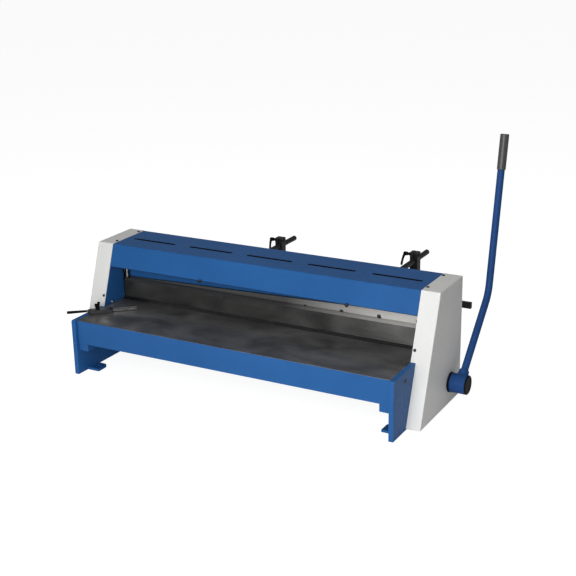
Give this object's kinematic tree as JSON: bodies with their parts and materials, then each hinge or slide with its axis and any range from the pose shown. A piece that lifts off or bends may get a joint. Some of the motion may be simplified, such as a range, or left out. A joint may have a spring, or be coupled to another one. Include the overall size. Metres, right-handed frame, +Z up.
{
  "type": "bench guillotine shear",
  "caption": "Bench-top guillotine shear with hand lever, crank-driven raked blade, sprung hold-down bar, rear stop on two rods and swivelling angle gauge.",
  "frame": {"origin": "middle of the bounding box on the bench plane, under the side plates' lower edges", "axes": "+X along the blades towards the hand lever, +Y from the operator to the back gauge, +Z up"},
  "size_m": [1.2362, 0.93, 0.7471],
  "materials": {
    "blue_paint": "satin enamel",
    "dark_blue_paint": "satin enamel",
    "grey_paint": "satin powder coat",
    "ground_steel": "ground, oiled",
    "bright_steel": "ground bright",
    "black_steel": "blackened",
    "black_plastic": "moulded",
    "bronze": "turned bronze"
  },
  "bodies": {
    "frame": {"side_plate_left": "blue_paint", "side_plate_right": "blue_paint", "foot_tab_front_left": "blue_paint", "foot_tab_front_right": "blue_paint", "foot_tab_rear_left": "blue_paint", "foot_tab_rear_right": "blue_paint", "table_bearer_left": "blue_paint", "table_bearer_right": "blue_paint", "table_bolt_left": "black_steel", "table_bolt_right": "black_steel", "front_gib_left": "black_steel", "front_gib_right": "black_steel", "return_spring_left": "black_steel", "return_spring_right": "black_steel", "shaft_bush_left": "bronze", "shaft_bush_right": "bronze", "side_cover_left": "grey_paint", "side_cover_right": "grey_paint", "hood_bolt_left": "black_steel", "hood_bolt_right": "black_steel", "table_casting": "ground_steel", "lower_blade": "bright_steel", "hood": "blue_paint", "rear_tie_bar": "dark_blue_paint", "angle_gauge_stud": "bright_steel"},
    "beam": {"blade_beam": "blue_paint", "upper_blade": "bright_steel", "beam_pin_left": "bright_steel", "beam_pin_right": "bright_steel", "hold_down_housing_left": "dark_blue_paint", "hold_down_housing_right": "dark_blue_paint", "hold_down_spring_left": "black_steel", "hold_down_spring_right": "black_steel", "gauge_rod_left": "black_steel", "gauge_rod_right": "black_steel"},
    "hold_down": {"hold_down_bar": "ground_steel", "hold_down_stud_left": "bright_steel", "hold_down_stud_right": "bright_steel"},
    "drive": {"main_shaft": "bright_steel", "lever_hub": "dark_blue_paint", "hub_spacer": "black_plastic", "hub_end_cap": "black_plastic", "lever_tube": "dark_blue_paint", "lever_grip": "black_plastic", "crank_arm_left": "black_steel", "crank_arm_right": "black_steel", "crank_pin_left": "bright_steel", "crank_pin_right": "bright_steel"},
    "link_left": {"link_left": "black_steel"},
    "link_right": {"link_right": "black_steel"},
    "back_gauge": {"stop_bar": "black_steel", "gauge_bracket_left": "black_steel", "gauge_bracket_right": "black_steel"},
    "clamp_left": {"clamp_lever_left": "black_plastic"},
    "clamp_right": {"clamp_lever_right": "black_plastic"},
    "angle_gauge": {"angle_gauge_body": "black_steel", "angle_gauge_bar": "bright_steel", "angle_gauge_handle": "black_plastic"},
    "gauge_knob": {"angle_gauge_knob": "black_plastic"}
  },
  "joints": [
    {"name": "lever_pull", "type": "hinge", "parent": "frame", "child": "drive", "pos_m": [-0.02693, -0.158, 0.0705], "axis": [1, 0, 0], "range_deg": [0, 75]},
    {"name": "beam_stroke", "type": "slide", "parent": "frame", "child": "beam", "axis": [0, 0, -1], "range_m": [0, 0.0512], "stiffness_N_per_m": 6000, "springref_m": -0.0633, "deforming": ["return_spring_left", "return_spring_right"]},
    {"name": "hold_down_drop", "type": "slide", "parent": "frame", "child": "hold_down", "axis": [0, 0, -1], "range_m": [0, 0.0075], "deforming": ["hold_down_spring_left", "hold_down_spring_right"]},
    {"name": "link_turn_left", "type": "hinge", "parent": "drive", "child": "link_left", "pos_m": [-0.59693, -0.19132, 0.09607], "axis": [1, 0, 0], "range_deg": [-75.5, 0]},
    {"name": "link_turn_right", "type": "hinge", "parent": "drive", "child": "link_right", "pos_m": [0.54307, -0.19132, 0.09607], "axis": [1, 0, 0], "range_deg": [-75.5, 0]},
    {"name": "back_gauge_slide", "type": "slide", "parent": "beam", "child": "back_gauge", "axis": [0, 1, 0], "range_m": [-0.37, 0.07]},
    {"name": "clamp_turn_left", "type": "hinge", "parent": "back_gauge", "child": "clamp_left", "pos_m": [-0.29893, 0.359, 0.2559], "axis": [1, 0, 0], "range_deg": [-60, 100]},
    {"name": "clamp_turn_right", "type": "hinge", "parent": "back_gauge", "child": "clamp_right", "pos_m": [0.21707, 0.359, 0.2705], "axis": [1, 0, 0], "range_deg": [-60, 100]},
    {"name": "angle_gauge_swivel", "type": "hinge", "parent": "frame", "child": "angle_gauge", "pos_m": [-0.54093, -0.37, 0.178], "axis": [0, 0, 1], "range_deg": [-38, 48]},
    {"name": "gauge_knob_turn", "type": "hinge", "parent": "angle_gauge", "child": "gauge_knob", "pos_m": [-0.54093, -0.37, 0.195], "axis": [0, 0, 1], "range_deg": [0, 180]}
  ],
  "couplings": [
    {"joint": "beam_stroke", "follows": "lever_pull", "m_per_rad": 0.039065},
    {"joint": "hold_down_drop", "follows": "lever_pull", "m_per_rad": 0.0057},
    {"joint": "link_turn_left", "follows": "lever_pull", "ratio": -1},
    {"joint": "link_turn_right", "follows": "lever_pull", "ratio": -1}
  ]
}
